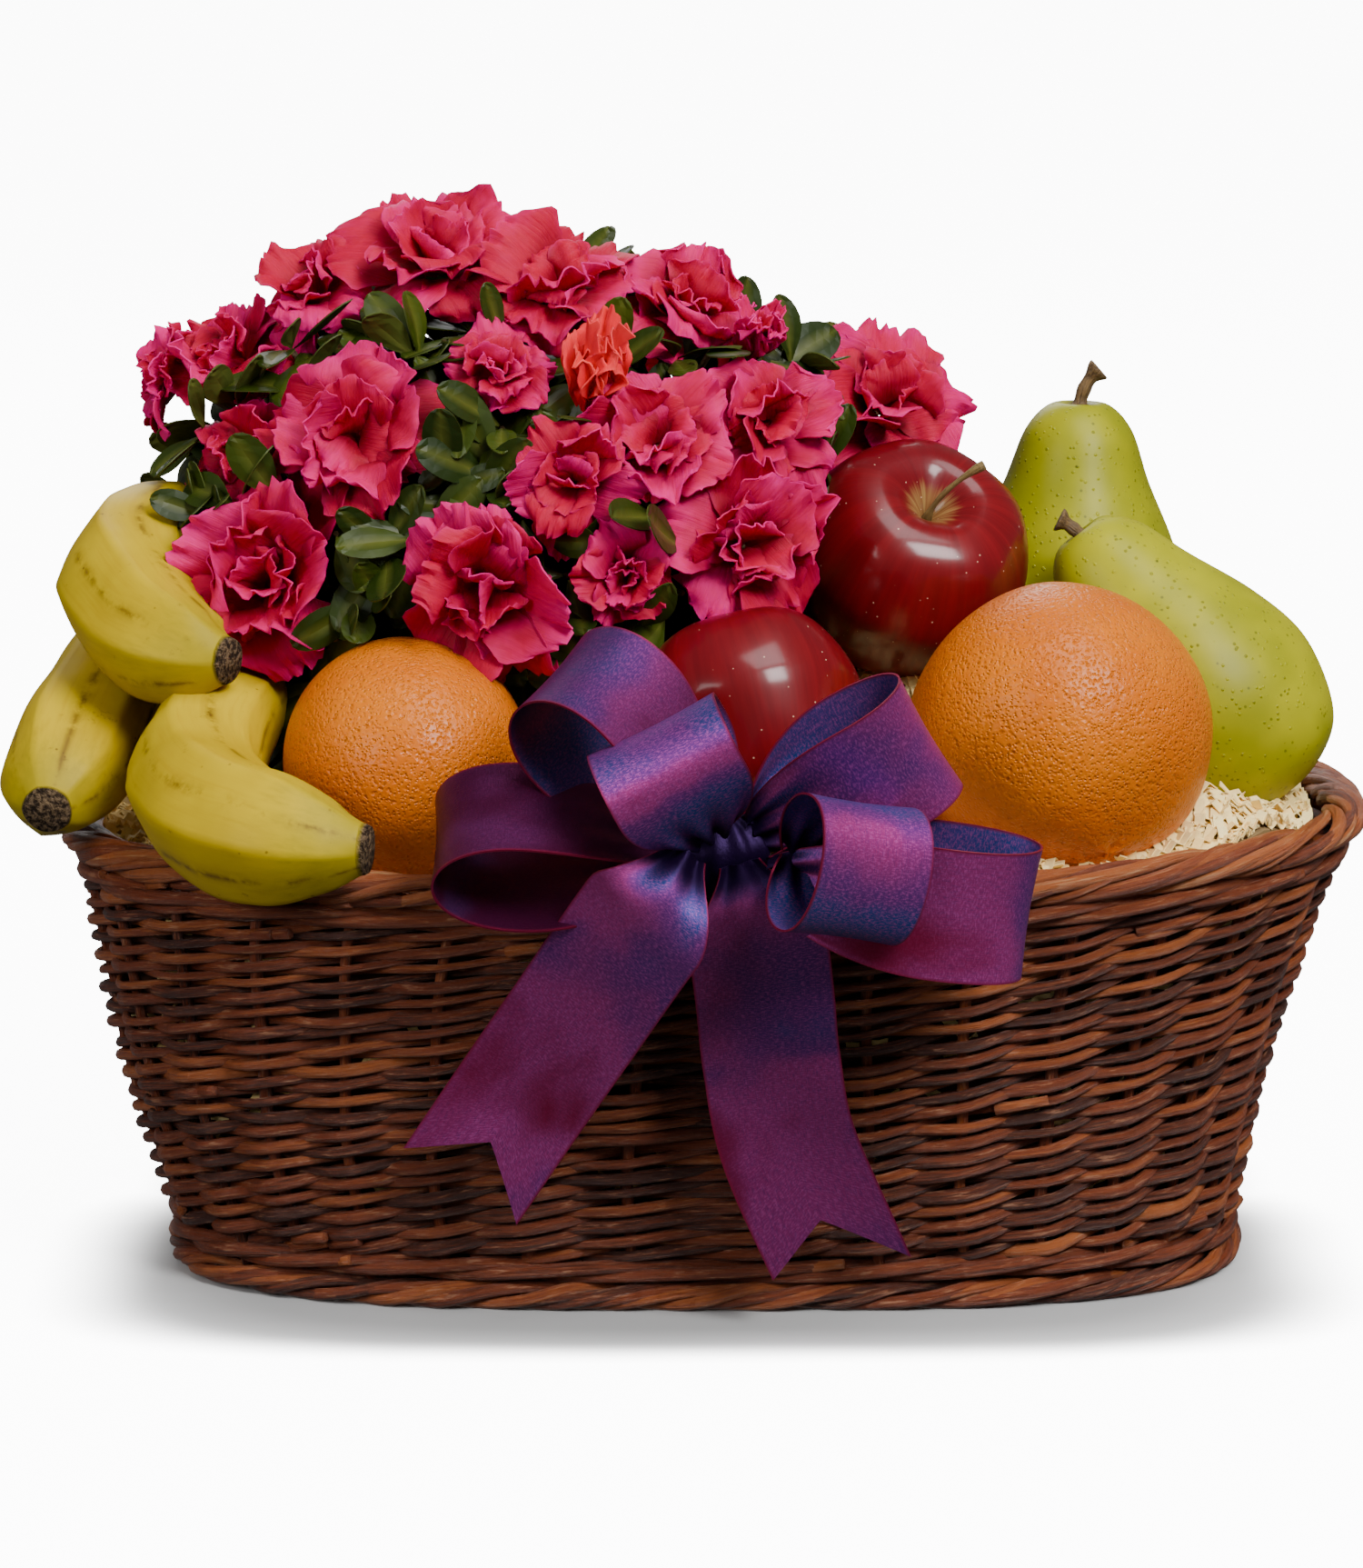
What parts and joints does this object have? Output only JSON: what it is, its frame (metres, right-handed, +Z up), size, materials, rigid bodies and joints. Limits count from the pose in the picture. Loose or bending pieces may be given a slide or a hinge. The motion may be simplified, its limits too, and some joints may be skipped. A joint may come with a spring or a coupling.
{
  "type": "fruit gift basket",
  "caption": "Oval dark willow gift basket of oranges, apples, pears and bananas on cut paper, with a flowering azalea and a purple ribbon bow.",
  "frame": {"origin": "middle of the basket's flat underside, where it stands", "axes": "+X along the basket's length to the viewer's right, -Y towards the front with the bow, +Z up"},
  "size_m": [0.3909, 0.3014, 0.3103],
  "materials": {
    "willow": "stained willow rods with a soft sheen",
    "paper": "cream crinkle-cut paper, matt",
    "orange": null,
    "apple": null,
    "pear": null,
    "banana": null,
    "stem": "dry brown stem",
    "foliage": null,
    "blossom": null,
    "coral_bud": null,
    "ribbon": "shot satin, purple to blue and magenta, with a thin red selvedge"
  },
  "bodies": {
    "root": {"basket_wall": "willow", "basket_rim": "willow", "basket_foot": "willow", "orange_right": "orange", "orange_left": "orange", "apple_low": "apple", "apple_high": "apple", "apple_high_stem": "stem", "apple_low_stem": "stem", "pear_back": "pear", "pear_back_stem": "stem", "pear_front": "pear", "pear_front_stem": "stem", "banana_top": "banana", "banana_left": "banana", "banana_front": "banana", "azalea_flower_01": "blossom", "azalea_flower_02": "blossom", "azalea_flower_03": "blossom", "azalea_flower_04": "blossom", "azalea_flower_05": "blossom", "azalea_flower_06": "blossom", "azalea_flower_07": "blossom", "azalea_flower_08": "blossom", "azalea_flower_09": "blossom", "azalea_flower_10": "blossom", "azalea_flower_11": "blossom", "azalea_flower_12": "blossom", "azalea_flower_13": "blossom", "azalea_flower_14": "blossom", "azalea_flower_15": "blossom", "azalea_flower_16": "blossom", "azalea_flower_17": "blossom", "azalea_flower_18": "blossom", "azalea_flower_19": "blossom", "azalea_flower_20": "blossom", "azalea_flower_21": "blossom", "azalea_flower_22": "blossom", "azalea_bud_coral": "coral_bud", "azalea_bud_pink": "blossom", "bow_knot": "ribbon", "bow_loop_high_left": "ribbon", "bow_loop_high_right": "ribbon", "bow_loop_low_left": "ribbon", "bow_loop_low_right": "ribbon", "bow_loop_front_left": "ribbon", "bow_loop_front_right": "ribbon", "bow_tail_left": "ribbon", "bow_tail_right": "ribbon", "azalea_foliage": "foliage", "paper_bed": "paper"}
  },
  "joints": []
}
